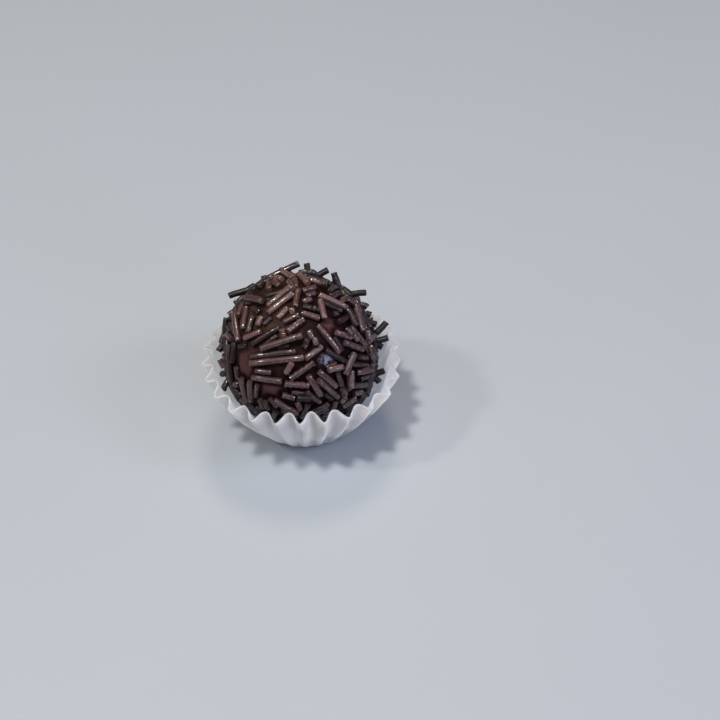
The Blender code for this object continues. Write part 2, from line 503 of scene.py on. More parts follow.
@dataclass(frozen=True)
class PaperFinish:
    """Thin white greaseproof paper: matt, a little cool, with fibres and faint creases, and painted shade
    along its top rim.
    """

    white: Triple = (0.87, 0.875, 0.885)
    shade: Triple = (0.81, 0.82, 0.84)
    # painted shade: the grey that the top rim is darkened to
    edge: Triple = (0.27, 0.275, 0.285)
    rim_shade_span: Span = (0.955, 0.995)  # from where to where up the wall the paper turns to the painted shade at its rim
    fibre_scale: float = 5.5
    fibre_stretch: Triple = (1.0, 1.0, 0.45)
    mottle_scale: float = 0.6
    glow: float = 0.0015  # how far light spreads in the paper, in metres

    def material(self) -> bpy.types.Material:
        """Build the material.

        Returns:
            The material.
        """
        board = MaterialBoard("paper")
        spot = board.place()
        mottle = board.cloud(spot, self.mottle_scale, 3.0, 0.6)
        stretched = board.vector("MULTIPLY", spot, self.fibre_stretch)
        fibres = board.cloud(stretched, self.fibre_scale, 4.0, 0.7)
        colour = board.blend((mottle * 0.6 + fibres * 0.4).ease(0.3, 0.7), self.shade, self.white)
        return board.close(
            {
                # Painted shade along the top rim
                "Base Color": board.blend(board.attribute("up").ease(*self.rim_shade_span), colour, self.edge),
                "Roughness": 0.72 + fibres * 0.12,
                "Specular IOR Level": 0.35,
                "Subsurface Weight": 0.9,
                "Subsurface Radius": (1.0, 1.0, 1.0),
                "Subsurface Scale": self.glow,
                "Normal": board.relief(fibres * 0.5 + mottle * 0.5, 0.12, 0.6),
            }
        )


@dataclass(frozen=True)
class FloorFinish:
    """Plain pale floor."""

    light: Triple = (0.312, 0.337, 0.362)
    shade: float = 0.97  # of the light colour, where the floor is darkest
    cloud_scale: float = 0.02

    def material(self) -> bpy.types.Material:
        """Build the material.

        Returns:
            The material.
        """
        board = MaterialBoard("floor")
        dark = tuple(self.shade * part for part in self.light)
        colour = board.blend(board.cloud(board.place(), self.cloud_scale), dark, self.light)
        return board.close({"Base Color": colour, "Roughness": 0.6})


# ---- shapes that the pieces share


def polar(azimuth: float, elevation: float) -> Array:
    """Unit vector from the ball's middle towards an azimuth and an elevation in degrees."""
    turn, lift = math.radians(azimuth), math.radians(elevation)
    return np.array((math.sin(turn) * math.cos(lift), -math.cos(turn) * math.cos(lift), math.sin(lift)))


def unit(vectors: Array) -> Array:
    """Vectors brought to a length of 1."""
    return vectors / np.linalg.norm(vectors, axis=-1, keepdims=True)


def degrees_off(directions: Array, azimuth: float, elevation: float) -> Array:
    """Angles in degrees between directions and the one towards an azimuth and an elevation."""
    return np.degrees(np.arccos(np.clip(directions @ polar(azimuth, elevation), -1.0, 1.0)))


def wave(turn: Any, crests: int, azimuth: float = 0.0) -> Any:
    """Wave round the case, with a number of crests, one of them at an azimuth in degrees."""
    return cosine(crests * (turn - math.radians(azimuth)))


@dataclass(frozen=True)
class CaseForm:
    """The pleated wall of the paper case, in millimetres and degrees, as the CAD solid has it."""

    pleats: int = 26
    base_radius: float = 12.0
    rim_radius: float = 21.6
    height: float = 18.9
    belly: float = 0.9
    fold_foot: float = 0.08
    fold_rim: float = 1.25
    sharpness: float = 0.12
    first_fold: float = -4.3
    lean: float = 0.9
    lean_azimuth: float = -25.0
    oval: float = 0.3
    oval_azimuth: float = 60.0
    rise: float = 0.5
    rise_azimuth: float = -40.0
    sag: float = 0.45
    sags: int = 4  # how many times the rim sags on its way round
    unevenness: float = 0.12
    drift: float = 0.25
    above_rim: float = 1.0  # how far above the rim's highest point the open air starts
    open_air: float = 9.0  # the room of a point in it

    def flare(self, turn: Any) -> Any:
        """How much further out the rim is than the foot, at an angle from the front in radians."""
        return (
            self.rim_radius
            - self.base_radius
            + self.lean * wave(turn, 1, self.lean_azimuth)
            + self.oval * wave(turn, 2, self.oval_azimuth)
            - self.sag * wave(turn, self.sags)
        )

    def top(self, turn: Any) -> Any:
        """Height of the rim between folds, at an angle."""
        rise = self.rise * wave(turn, 1, self.rise_azimuth)
        return self.height + rise + self.sag * wave(turn, self.sags)

    def phase(self, turn: Any) -> Any:
        """Where an angle is in its pleat, in radians: 0 on an outer fold."""
        drift = self.drift * (sine(2 * turn + 1.0) + 0.6 * sine(5 * turn))
        return self.pleats * (turn - math.radians(self.first_fold)) + drift

    def depth(self, turn: Any) -> Any:
        """How deep the folds are at an angle, about 1."""
        return 1 + self.unevenness * sine(3 * turn + 0.7) * cosine(5 * turn)

    def inner_reach(self, points: Array) -> Array:
        """Find the radius of the innermost fold.

        Args:
            points: Points whose heights and angles count.

        Returns:
            One radius for each point.
        """
        turn = np.arctan2(points[..., 0], -points[..., 1])
        up = np.clip(points[..., 2] / self.height, 0.0, 1.0)
        flare = self.flare(turn)
        fold = (self.sharpness - 1) * (1 + self.unevenness)
        depth = fold * (self.fold_foot + (self.fold_rim - self.fold_foot) * up)
        wall = self.base_radius + flare * up + self.belly * np.sin(math.pi * up)
        return wall + depth * self.height / np.hypot(flare, self.height)

    def room(self, points: Array) -> Array:
        """Find how far each point is inside the case.

        Args:
            points: The points.

        Returns:
            The lesser distance from the wall and the base, or a large one above the rim.
        """
        free = points[..., 2] > self.height + self.rise + self.sag + self.above_rim
        aside = self.inner_reach(points) - np.hypot(points[..., 0], points[..., 1])
        return np.where(free, self.open_air, np.minimum(aside, points[..., 2]))


@dataclass(frozen=True)
class BallForm:
    """The fudge ball under its sprinkles."""

    case: CaseForm
    centre: Triple = (-0.6, 0.5, 18.8)
    coat: float = 17.4  # level that the CAD solid's sprinkles lie at
    seen_level: float = 17.5  # level at which the listed places are seen
    fudge: float = 16.65  # level of the fudge itself
    eye: Triple = (0.0, -243.3, 241.4)  # from where the listed places are seen
    paper_gap: float = 1.3  # least room from the fudge to the paper
    deepest: float = 8.0  # the most that the case can press the ball in
    halvings: int = 12  # steps that find how far it does
    sightings: int = 3  # steps that find a point in a line of sight
    # Swells: azimuth, elevation, height, spread in degrees
    swells: tuple[tuple[float, float, float, float], ...] = (
        (-140, 42, 0.8, 35),
        (140, 40, -0.3, 30),
        (58, -28, 0.8, 28),
        (-66, -22, 0.6, 25),
        (0, -90, 1.2, 40),
    )
    # Patches of fudge with no sprinkles: azimuth, elevation, reach in degrees, rise
    bare: tuple[tuple[float, float, float, float], ...] = (
        (-51, 17, 7.0, 0.45),
        (-52, 29, 7.5, 0.45),
        (-21, 10, 5.0, 0.40),
        (-29, 11, 6.0, 0.40),
        (45, 53, 6.5, 0.40),
        (-41, 56, 4.5, 0.35),
        (22, 31.5, 5.0, 0.10),
        (-21, 28, 6.0, -0.10),
        (6, 57, 4.0, 0.10),
        (-61, 22, 6.5, 0.0),
        (-6, 27, 5.0, -0.2),
    )

    @property
    def rises(self) -> Array:
        """How far each bare patch stands out."""
        return np.array([patch[3] for patch in self.bare])

    def patches(self, directions: Array, stretch: float = 1.0) -> Array:
        """How far each direction is inside each bare patch: 1 in the middle, under 0 outside."""
        away = [degrees_off(directions, *patch[:2]) / patch[2] for patch in self.bare]
        return 1 - np.stack(away, -1) / stretch

    def facing(self, directions: Array) -> Array:
        """How squarely each direction is turned to the eye, from -1 to 1."""
        return directions @ unit(np.subtract(self.eye, self.centre))

    def swelling(self, directions: Array) -> Array:
        """Find how much fuller than round the ball is.

        Args:
            directions: Unit vectors.

        Returns:
            One height for each direction.
        """
        total = np.zeros(directions.shape[:-1])
        for azimuth, elevation, height, spread in self.swells:
            away = degrees_off(directions, azimuth, elevation)
            total = total + height * np.exp(-((away / spread) ** 2))
        return total

    def seen(self, directions: Array, heights: Array) -> Array:
        """Place points over the fudge, each in the line of sight to a place on the coat.

        Args:
            directions: Unit vectors from the ball's middle to the places on the coat.
            heights: Height of each point above the fudge.

        Returns:
            The points.
        """
        starts = self.at(directions, np.full(len(directions), self.seen_level))
        sight = unit(np.asarray(self.eye) - starts)
        along = ((starts - np.asarray(self.centre)) * sight).sum(-1)
        points, outward = starts, directions
        for _ in range(self.sightings):
            reach = self.level(outward) + heights
            step = np.sqrt(np.maximum(along**2 + reach**2 - self.seen_level**2, 0)) - along
            points = starts + step[:, None] * sight
            outward = unit(points - np.asarray(self.centre))
        return points

    def at(self, directions: Array, radius: Array) -> Array:
        """Points at a distance from the ball's middle towards each direction."""
        return np.asarray(self.centre) + radius[..., None] * directions

    def level(self, directions: Array) -> Array:
        """Find how far out the fudge is, pressed in where the case holds it.

        Args:
            directions: Unit vectors.

        Returns:
            One distance from the ball's middle for each direction.
        """
        raised = (np.exp(-((1 - self.patches(directions)) ** 2)) * self.rises).sum(-1)
        full = self.fudge + self.swelling(directions) + raised
        low, high = full - self.deepest, full
        for _ in range(self.halvings):
            middle = (low + high) / 2
            fits = self.case.room(self.at(directions, middle)) > self.paper_gap
            low, high = np.where(fits, middle, low), np.where(fits, high, middle)
        held = self.case.room(self.at(directions, full)) <= self.paper_gap
        return np.where(held, low, full)


# ---- sprinkles


class Strand(Enum):
    """Kinds of sprinkle, by how the strand broke and dried."""

    SMOOTH = "smooth"
    CRINKLED = "crinkled"


class Tone(Enum):
    """How pale a sprinkle's chocolate is."""

    DARK = 0.12
    BROWN = 0.38
    WARM = 0.62
    PALE = 0.85


# Lifts of the two ends of a strand on the unlisted side, in the order in which they are tried
LOW_LIFTS = ((0.0, 0.0), (0.3, 0.0), (0.0, 0.3), (0.3, 0.3), (0.7, 0.0), (0.0, 0.7), (0.6, 0.6))
D, B, W, P = Tone.DARK, Tone.BROWN, Tone.WARM, Tone.PALE
S, C = Strand.SMOOTH, Strand.CRINKLED


@dataclass(frozen=True)
class Laid:
    """A sprinkle in its place, in millimetres."""

    start: Array
    end: Array
    out: Array
    girth: float
    tone: float
    strand: Strand
    bend: float


def segment_gaps(starts: Array, ends: Array, others: Array, other_ends: Array) -> Array:
    """Find the shortest distances between each of m lines and each of n lines.

    Args:
        starts: m by 3, where the lines begin.
        ends: m by 3, where they end.
        others: n by 3, where the other lines begin.
        other_ends: n by 3, where they end.

    Returns:
        m by n distances.
    """
    u = (ends - starts)[:, None]
    v = (other_ends - others)[None]
    w = starts[:, None] - others[None]
    a, b, c = (u * u).sum(-1), (u * v).sum(-1), (v * v).sum(-1)
    d, e = (u * w).sum(-1), (v * w).sum(-1)
    s = np.clip((b * e - c * d) / np.maximum(a * c - b * b, 1e-9), 0, 1)
    t = np.clip((b * s + e) / c, 0, 1)
    s = np.clip((b * t - d) / a, 0, 1)
    return np.linalg.norm(w + s[..., None] * u - t[..., None] * v, axis=-1)


def end_lifts(most: float, step: float, slant_cost: float = 0.0) -> Array:
    """List lifts for a strand's two ends.

    Args:
        most: No lift comes up to this.
        step: How much higher each lift is than the one before.
        slant_cost: How much a slant counts as height.

    Returns:
        Pairs of lifts, the lowest and most level ones first.
    """
    steps = np.arange(0.0, most, step)
    lifts = np.array([(a, b) for a in steps for b in steps])
    cost = lifts.sum(1) + slant_cost * np.abs(lifts[:, 0] - lifts[:, 1])
    return lifts[np.argsort(cost, kind="stable")]


@dataclass
class Heap:
    """The sprinkles laid so far, and the room between them."""

    ball: BallForm
    sunk: float = 0.60  # height of a lying sprinkle's middle line above the fudge
    squash: float = 0.84  # how close two strands' middle lines may come, in girths
    paper_gap: float = 0.15
    margin: float = 3.0  # how much further off than touching a strand can be left out of a search
    laid: list[Laid] = field(default_factory=list)
    rows: Array = field(default_factory=lambda: np.empty((0, 7)))

    def overlaps(self, starts: Array, ends: Array, girth: float) -> Array:
        """Find how far lines of about the same place cut into what is laid already.

        Args:
            starts: m by 3, where the lines begin.
            ends: m by 3, where they end.
            girth: Their thickness.

        Returns:
            m depths, negative where a line is clear.
        """
        clear = np.full(len(starts), -1.0)
        if not self.laid:
            return clear
        if len(self.rows) != len(self.laid):
            self.rows = np.array([(*rod.start, *rod.end, rod.girth) for rod in self.laid])
        middle = (starts[0] + ends[0]) / 2
        span = np.linalg.norm(ends - starts, axis=1).max() / 2 + girth
        middles = (self.rows[:, :3] + self.rows[:, 3:6]) / 2
        halves = np.linalg.norm(self.rows[:, 3:6] - self.rows[:, :3], axis=1) / 2
        near = self.rows[np.linalg.norm(middles - middle, axis=1) < span + halves + self.margin]
        if len(near) == 0:
            return clear
        reach = (near[:, 6] + girth) / 2 * self.squash
        return (reach[None] - segment_gaps(starts, ends, near[:, :3], near[:, 3:6])).max(1)

    def sagitta(self, first: Array, second: Array) -> Array:
        """How far the middle of a straight strand would sink below its ends' level."""
        chord = np.linalg.norm(first - second, axis=-1) * self.ball.fudge
        return chord**2 / (8 * self.ball.fudge)

    def inside(self, starts: Array, ends: Array, girth: float) -> Array:
        """Find which lines keep off the paper.

        Args:
            starts: Where the lines begin.
            ends: Where they end.
            girth: Their thickness.

        Returns:
            Whether each one does.
        """
        steps = np.linspace(0, 1, 5)[:, None, None]
        points = starts[None] + steps * (ends - starts)[None]
        return (self.ball.case.room(points) > girth / 2 + self.paper_gap).all(0)

    def add(self, start: Array, end: Array, girth: float, tone: float, strand: Strand, bend: float) -> None:
        """Lay a sprinkle between two points."""
        out = unit((start + end) / 2 - np.asarray(self.ball.centre))
        self.laid.append(Laid(start, end, out, girth, tone, strand, bend))


@dataclass
class SprinkleCoat:
    """All the sprinkles: those listed one by one, and those scattered between them."""

    ball: BallForm
    seed: int = 11
    girth: float = 1.45
    girth_spread: float = 0.07
    girths: Span = (1.15, 1.5)
    length: float = 6.0  # of a scattered strand
    length_spread: float = 2.2
    lengths: Span = (2.6, 11.0)
    shortest: float = 2.2
    tone_spread: float = 0.04  # of the listed strands
    scattered_spread: float = 0.12
    scattered_tones: Span = (0.2, 0.9)
    crinkled_share: float = 0.12
    propped: float = 0.55  # how much of its sag a strand is raised by
    bent: float = 0.35  # how much of its sag it is bent by
    proud_bend: float = 0.08
    pressed: float = 0.80  # how much of its girth a listed strand needs clear of the others
    buried: float = 0.35  # how much deeper the strands between the listed ones lie
    hidden: float = -0.3  # how far turned from the eye the unlisted side is
    shares: tuple[float, ...] = (1.0, 0.8, 0.62, 0.48, 0.37)  # of its length, tried for a strand
    headings: int = 12  # tried for a strand
    slid: float = 0.3  # how far off its spot a strand may be, in half lengths
    spots: int = 5200
    spot_girth: float = 0.45  # clear width that a spot needs to get a strand
    lowest: float = -42.0  # elevation below which nothing shows
    loose: int = 70  # strands across the others on the unlisted side
    loose_headings: int = 5
    loose_lift: float = 1.9
    sides: int = 8
    chamfer: float = 0.13
    chamfer_share: float = 0.12  # how much thinner a strand's end face is
    sharp: float = 0.95  # angle in radians from which an edge is sharp
    wander: float = 0.10
    wander_gain: float = 2.2  # makes up for noise seldom being near 0 or 1
    lump_scale: float = 0.55  # lumps in a millimetre of a strand
    crimp_scale: float = 3.4  # crimps in a lump
    own_way: float = 40.0  # how far apart in the noise the strands are
    own_grain: float = 60.0
    # Crinkle, notch and stations of each kind
    makes: Mapping[Strand, tuple[float, float, int]] = field(
        default_factory=lambda: {S: (0.07, 0.0, 8), C: (0.30, 0.12, 11)}
    )

    # Proud ones: azimuth, elevation and height above the coat's level, of both ends, and the tone
    proud: tuple[Any, ...] = (
        # over the back, from left to right
        (-134, 43, 0.2, -118.5, 32.5, 3.0, D),
        (-130, 40, 0.8, -137, 43, 0.6, D),
        (-144.5, 45.5, 1.0, -150, 47.5, 0.7, D),
        (-151, 47.5, 0.6, -185.5, 51, 2.4, B),
        (-166.5, 50.5, 1.1, -176, 71.5, 0.4, P),
        (164, 50, 0.0, 166.8, 50, 2.6, D),
        (175, 51, 0.3, 158, 49, 0.7, B),
        (153.5, 48, 0.1, 145.3, 46, 2.1, D),
        (134, 41, -0.2, 140, 44, 1.9, D),
        (131.5, 40, -0.3, 137.3, 43.2, 1.2, B),
        (127, 38.5, -0.3, 118, 34.5, -0.3, D),
        # right
        (120.5, 34, -0.2, 114.8, 29, 2.6, D),
        (112, 27, -0.3, 107.5, 23.5, 0.9, B),
        (105, 21, -0.3, 103, 19, 0.6, D),
        (99.5, 15, -0.2, 97.8, 13, 0.95, D),
        (93.5, 8.5, 0.2, 97.4, 12.5, 3.3, D),
        (89.5, 4.5, -0.2, 90.5, 5.2, 2.8, D),
        (89, 3, -0.3, 86.7, 0.5, 1.3, D),
        (72.5, -13, 0.3, 75.6, -10.5, 2.2, D),
        (70.5, -15, 0.5, 69.5, -16.5, 2.0, B),
        # left
        (-124, 36.5, 0.4, -118.5, 34, 0.1, W),
        (-116.5, 33, -0.1, -118.4, 33, 1.1, B),
        (-107.5, 23.5, 0.9, -99.5, 15.5, 0.1, D),
        (-112, 27.5, 0.1, -109.5, 25, 0.6, W),
        (-99, 15, 0.1, -94, 9.5, 0.5, B),
        (-94.5, 9, -0.1, -90.3, 5.3, 1.1, D),
        (-86.5, 1.5, 0.9, -82.5, -3.5, 0.2, W),
        (-86.5, -13.5, 0.2, -79.8, -7, 1.0, D),
        (-75, -10.5, 0.3, -71.8, -14, 2.2, B),
    )

    # Lying ones: azimuth and elevation of both ends, tone, kind; what lies on another comes later
    lying: tuple[Any, ...] = (
        # left and upper left
        (-105, 34, -66, 34, W, S), (-94.5, 50.5, -69.5, 42.5, W, S), (-106, 45, -92, 41, W, S),
        (-103, 50, -97, 56, B, S), (-118, 43, -88, 65, W, S),
        (-138, 61, -115, 68.5, W, S), (-145.5, 60.5, -132.5, 74.5, W, S), (-158, 51, -157, 66, P, S),
        (-85, 57, -68, 60, B, S), (-73, 54, -61, 44, B, S),
        (-60.5, 59, -55.5, 52.5, P, S), (-49.5, 39.5, -25.5, 58.5, B, S), (-61, 39, -47.5, 50.5, P, S),
        (-88, 24, -76, 29, W, S),
        # top
        (180, 73, 172, 86, W, S), (-163, 74, -156, 86, W, S), (100, 85, 113.5, 74, W, S),
        (174, 56, 138, 76, P, S), (-69, 67, -158, 82, W, S), (-56, 64, -66, 88, P, S),
        (150, 86, -5, 75.5, W, S), (-35, 64, -24, 74, P, S), (-15, 75, -9, 70, P, S),
        (-23, 62.5, 3, 69, W, S), (-22, 57.5, -17, 52, P, C), (-14, 56, 9, 65, W, C),
        (24, 78.5, 56, 77, W, S), (16, 75, 45, 67, B, C), (9, 70, 35, 61.5, W, S),
        (68, 71.5, 41.5, 59.5, P, S), (83, 73, 80, 50, P, S),
        (56.5, 58, 62, 55, B, S), (90, 54.5, 97, 50, P, S), (118, 46.5, 108, 42, D, S),
        (98, 50, 97, 43, W, S), (150, 69, 124, 66, W, S), (132, 60, 118, 66, W, S),
        # middle
        (-45, 26, 3, 37.7, W, S), (-46, 31, -4, 42.5, B, S), (-39, 39.5, 4, 53.5, W, S),
        (-7.5, 34.5, -12.5, 26.5, P, S), (-38, 23, -24, 25.5, B, S), (-40, 17, -15.5, 20, W, S),
        (-9, 22.5, 11, 33, W, C), (4, 36.5, 22, 42.5, W, S), (24, 39, 37.5, 24.5, B, S),
        (27, 57.5, 35.5, 33, W, S), (13.5, 56, 14, 49.5, W, S), (17, 50, 17, 44.5, W, S),
        (3.5, 47, 8, 44.5, W, C), (6, 50, 10, 47.5, W, C),
        # right
        (61, 42, 68.5, 4.5, W, S), (42, 47, 53.5, 36.5, P, S), (56.5, 44, 56, 37.5, B, S),
        (57.5, 37, 58, 31, P, S),
        (44.5, 37, 58, 23, W, S), (53, 51, 72.5, 46, B, C), (80, 49, 68, 38, B, S),
        (96, 42, 70, 31, W, S), (88, 37, 75.5, 28.5, B, S), (77, 27, 72, 21.5, P, S),
        (67, 23, 84, 15, W, S), (68, 19, 68.5, 12, B, C),
        (51, 21, 58.5, 15, B, S), (42, 20.5, 57, 9, B, S), (59, 7, 68, 1, B, S),
        (48.5, 26, 34, 16, W, S),
        # lower right
        (28, 21.5, 29.5, 7.5, B, S), (13.5, 26, 25, 10, W, S), (12, 19.5, 25.5, 0, W, S),
        (21.5, 24.5, 34, 22.5, P, S), (36.5, 14.5, 34.5, 2, B, S), (40, 16, 37, 2, P, S),
        (44.5, 11.5, 65, -1, W, S), (46.5, 4, 56.5, -0.5, B, S), (39, 3.5, 54, -7.5, B, S),
        (39.5, -5, 49, -11, W, S), (29.5, -14, 42, -12, W, S), (27.5, -6.5, 32, -3.5, W, S),
        (47.5, -15.5, 53.5, -17, B, S), (30, 5.5, 31, -1.5, B, S),
        # lower centre
        (-13.5, 18.5, 4.5, 16.5, W, C), (-8, 12.5, 0.5, 10.5, B, S), (-15.5, 9, -6, 7, W, C),
        (-4.5, 7, 5, 5.5, D, S), (2, 12, 11.5, 0.5, B, S), (5, 24, 12.5, 6.5, W, S),
        (-21.5, 3, -5, -9, W, S), (-5, 3.5, -3, -4.5, W, S), (3, 1, -2.5, -14, B, S),
        (4.5, -8.5, 18, -3, B, S), (-29, -0.5, -27.5, -7.5, B, S),
        # lower left
        (-77, 23, -65, -6, B, S), (-50.5, 10.5, -48, -11.5, W, S), (-42, 12.5, -42, -6.5, W, S),
        (-60, -1.5, -53, 3, W, S),
    )

    def __post_init__(self) -> None:
        """Start with nothing laid."""
        self.heap = Heap(self.ball)
        self.chance = np.random.default_rng(self.seed)

    def draw(self, mean: float, spread: float, limits: Span = (-math.inf, math.inf)) -> float:
        """A number drawn from a bell curve and kept between limits."""
        return float(np.clip(self.chance.normal(mean, spread), *limits))

    def lay_proud(self) -> None:
        """Lay the sprinkles that stick out, where the CAD solid has them."""
        for azimuth, elevation, height, azimuth2, elevation2, height2, tone in self.proud:
            ends = np.array((polar(azimuth, elevation), polar(azimuth2, elevation2)))
            start, end = self.ball.at(ends, self.ball.coat + np.array((height, height2)))
            self.heap.add(start, end, self.girth, tone.value, S, self.proud_bend)

    def lay_by_hand(self) -> None:
        """Lay the listed sprinkles, each as low as it goes or where it cuts least into others."""
        lifts = end_lifts(1.01, 0.25, slant_cost=0.3)
        for azimuth, elevation, azimuth2, elevation2, tone, strand in self.lying:
            first, second = polar(azimuth, elevation), polar(azimuth2, elevation2)
            girth = self.draw(self.girth, self.girth_spread, self.girths)
            sag = float(self.heap.sagitta(first, second))
            heights = lifts + self.heap.sunk + self.propped * sag
            starts = self.ball.seen(np.repeat(first[None], len(lifts), 0), heights[:, 0])
            ends = self.ball.seen(np.repeat(second[None], len(lifts), 0), heights[:, 1])
            cuts = np.maximum(self.heap.overlaps(starts, ends, girth * self.pressed), 0)
            cuts[~self.heap.inside(starts, ends, girth)] = np.inf
            best = int(np.argmin(cuts))
            if np.isinf(cuts[best]):
                log.info("no room for the sprinkle at %s, %s", azimuth, elevation)
                continue
            shade = self.draw(tone.value, self.tone_spread)
            self.heap.add(starts[best], ends[best], girth, shade, strand, self.bent * sag)

    def is_bare(self, directions: Array) -> Array:
        """Whether each direction is in a patch that is left bare."""
        return (self.ball.patches(directions) > 0).any(-1)

    def even_spots(self) -> Array:
        """Spread spots evenly over the part of the ball that shows.

        Returns:
            Their directions, in a random order.
        """
        number = np.arange(self.spots) + 0.5
        height = 1 - 2 * number / self.spots
        turn = math.pi * (1 + math.sqrt(5)) * number
        around = np.sqrt(1 - height**2)
        spots = np.stack((around * np.sin(turn), -around * np.cos(turn), height), -1)
        return self.chance.permutation(spots[spots[:, 2] > math.sin(math.radians(self.lowest))])

    def scatter(self) -> None:
        """Fill the gaps with strands that lie in the fudge."""
        sunk = ((-self.buried, -self.buried),)
        for spot in self.even_spots():
            if self.is_bare(spot):
                continue
            here = self.ball.at(spot[None], self.ball.level(spot[None]) + self.heap.sunk)
            if self.heap.overlaps(here, here + 1e-4, self.spot_girth)[0] > 0:
                continue
            if self.ball.facing(spot) > self.hidden:
                self.fit_strand(spot, self.headings, self.shares, sunk, 0.3)
            else:
                self.fit_strand(spot, self.headings, self.shares, LOW_LIFTS, 0.4)

    def scatter_loose(self) -> None:
        """Lay strands across the others, on the side that has none listed."""
        lifts = end_lifts(self.loose_lift, 0.3)
        spots = self.even_spots()
        wanted = len(self.heap.laid) + self.loose
        for spot in spots[self.ball.facing(spots) < self.hidden - 0.05]:
            self.fit_strand(spot, self.loose_headings, self.shares[:2], lifts, 0.4)
            if len(self.heap.laid) == wanted:
                break

    def fit_strand(
        self, spot: Array, headings: int, shares: Sequence[float], lifts: Sequence[Span], tone: float
    ) -> None:
        """Lay the longest strand that fits over a spot, if one does.

        Args:
            spot: Direction of its middle.
            headings: How many headings to try.
            shares: Shares of its full length to try, longest first.
            lifts: Heights of its ends to try, lowest first.
            tone: How pale it is, more or less.
        """
        full = self.draw(self.length, self.length_spread, self.lengths)
        girth = self.draw(self.girth, self.girth_spread, self.girths)
        side = unit(np.cross(spot, (0.3, 0.5, 0.8)))  # any direction square to the spot's
        angles = self.chance.uniform(0, math.pi) + np.arange(headings) * math.pi / headings
        off = self.chance.uniform(-self.slid, self.slid)
        shares = [share for share in shares if share * full > self.shortest] or [self.shortest / full]
        tries = np.array([(s, a, *lift) for s in shares for lift in lifts for a in angles])
        angle, lift = tries[:, 1:2], tries[:, 2:]
        heading = np.cos(angle) * side + np.sin(angle) * np.cross(spot, side)
        half = tries[:, :1] * full / 2 / self.ball.fudge
        first = unit(spot + heading * half * (off - 1))
        second = unit(spot + heading * half * (off + 1))
        sag = self.heap.sagitta(first, second)
        heights = lift + self.heap.sunk + self.propped * sag[:, None]
        starts = self.ball.at(first, self.ball.level(first) + heights[:, 0])
        ends = self.ball.at(second, self.ball.level(second) + heights[:, 1])
        fits = self.heap.overlaps(starts, ends, girth) < 0
        fits &= self.heap.inside(starts, ends, girth)
        fits &= ~(self.is_bare(first) | self.is_bare(second))
        if fits.any():
            best = np.flatnonzero(fits)[0]
            strand = C if self.chance.random() < self.crinkled_share else S
            shade = self.draw(tone, self.scattered_spread, self.scattered_tones)
            self.heap.add(starts[best], ends[best], girth, shade, strand, self.bent * float(sag[best]))

    def tree(self, strand: Strand) -> GeometryBoard:
        """Make the tree that grows a strand along a line through each point.

        Args:
            strand: The kind of strand.

        Returns:
            The tree.
        """
        crinkle, notch, stations = self.makes[strand]
        board = GeometryBoard(
            strand.value + "_strands",
            {
                "Sides": self.sides,
                "Stations": stations,
                "Chamfer": self.chamfer * MM,
                "Crinkle": crinkle,
                "Notch": notch,
                "Wander": self.wander * MM,
                "Seed": 3.7,
            },
        )
        line = board.add("GeometryNodeCurvePrimitiveLine")
        sockets = {"Curve": line, "Count": board.input("Stations")}
        line = board.add("GeometryNodeResampleCurve", sockets)
        line = board.keep(line, "station", board.add("GeometryNodeSplineParameter") * 2 - 1)
        points = board.keep(board.input("Geometry"), "middle", board.position(), VECTOR)
        strands = board.add("GeometryNodeInstanceOnPoints", {"Points": points, "Instance": line})
        strands = board.add("GeometryNodeRealizeInstances", {0: strands})
        # Rings next to the ends keep their distance from them, whatever the strand's length
        station, spaces = board.recall("station"), board.input("Stations") - 1
        along = board.recall("along", VECTOR)
        length = board.vector("LENGTH", along)["Value"]
        at_end = station.size().above(0.999)  # stations run from -1 to 1
        inner = station / (1 - 2.0 / spaces) * (1 - 2 * board.input("Chamfer") / length)
        run = at_end * station + (1 - at_end) * inner
        # Each strand wanders its own way
        twist = board.recall("twist")
        lumps = run * length * (PER_METRE * self.lump_scale)
        track = board.join(lumps, twist * self.own_way + board.input("Seed"), 0.0)
        weave = board.nudge(board.cloud(track, 1.0), board.input("Wander") * self.wander_gain)
        rise = board.recall("bend") * (1 - run * run)
        rise = board.vector("SCALE", board.recall("out", VECTOR), scale=rise)
        spot = board.vector("SCALE", along, scale=run * 0.5)
        spot = board.vector("ADD", board.recall("middle", VECTOR), spot)
        strands = board.move(strands, board.vector("ADD", spot, board.vector("ADD", rise, weave)))
        crimp = (board.cloud(track, self.crimp_scale, 1.0) - 0.5) * 2 * board.input("Crinkle")
        notches = (station * (spaces * (math.pi / 2))).cos() * board.input("Notch")
        radius = board.recall("girth") * 0.5 * (1 - at_end * self.chamfer_share) * (1 + crimp + notches)
        sockets = {"Resolution": board.input("Sides"), "Radius": 1.0}
        circle = board.add("GeometryNodeCurvePrimitiveCircle", sockets)
        circle = board.keep(circle, "round", board.position(), VECTOR)
        sockets = {"Curve": strands, "Profile Curve": circle, "Scale": radius, "Fill Caps": True}
        strands = board.add("GeometryNodeCurveToMesh", sockets)
        across = board.split(board.recall("round", VECTOR))
        aside = across["X"] + twist * self.own_grain
        grain = board.join(aside, across["Y"], run * length * (PER_METRE * 0.5))
        strands = board.keep(strands, "grain", grain, VECTOR)
        strands = board.add("GeometryNodeSetShadeSmooth", {0: strands})
        sharp = board.add("GeometryNodeInputMeshEdgeAngle")["Unsigned Angle"].above(self.sharp)
        sockets = {0: strands, 1: sharp, 2: False}
        board.close(board.add("GeometryNodeSetShadeSmooth", sockets, domain="EDGE"))
        return board

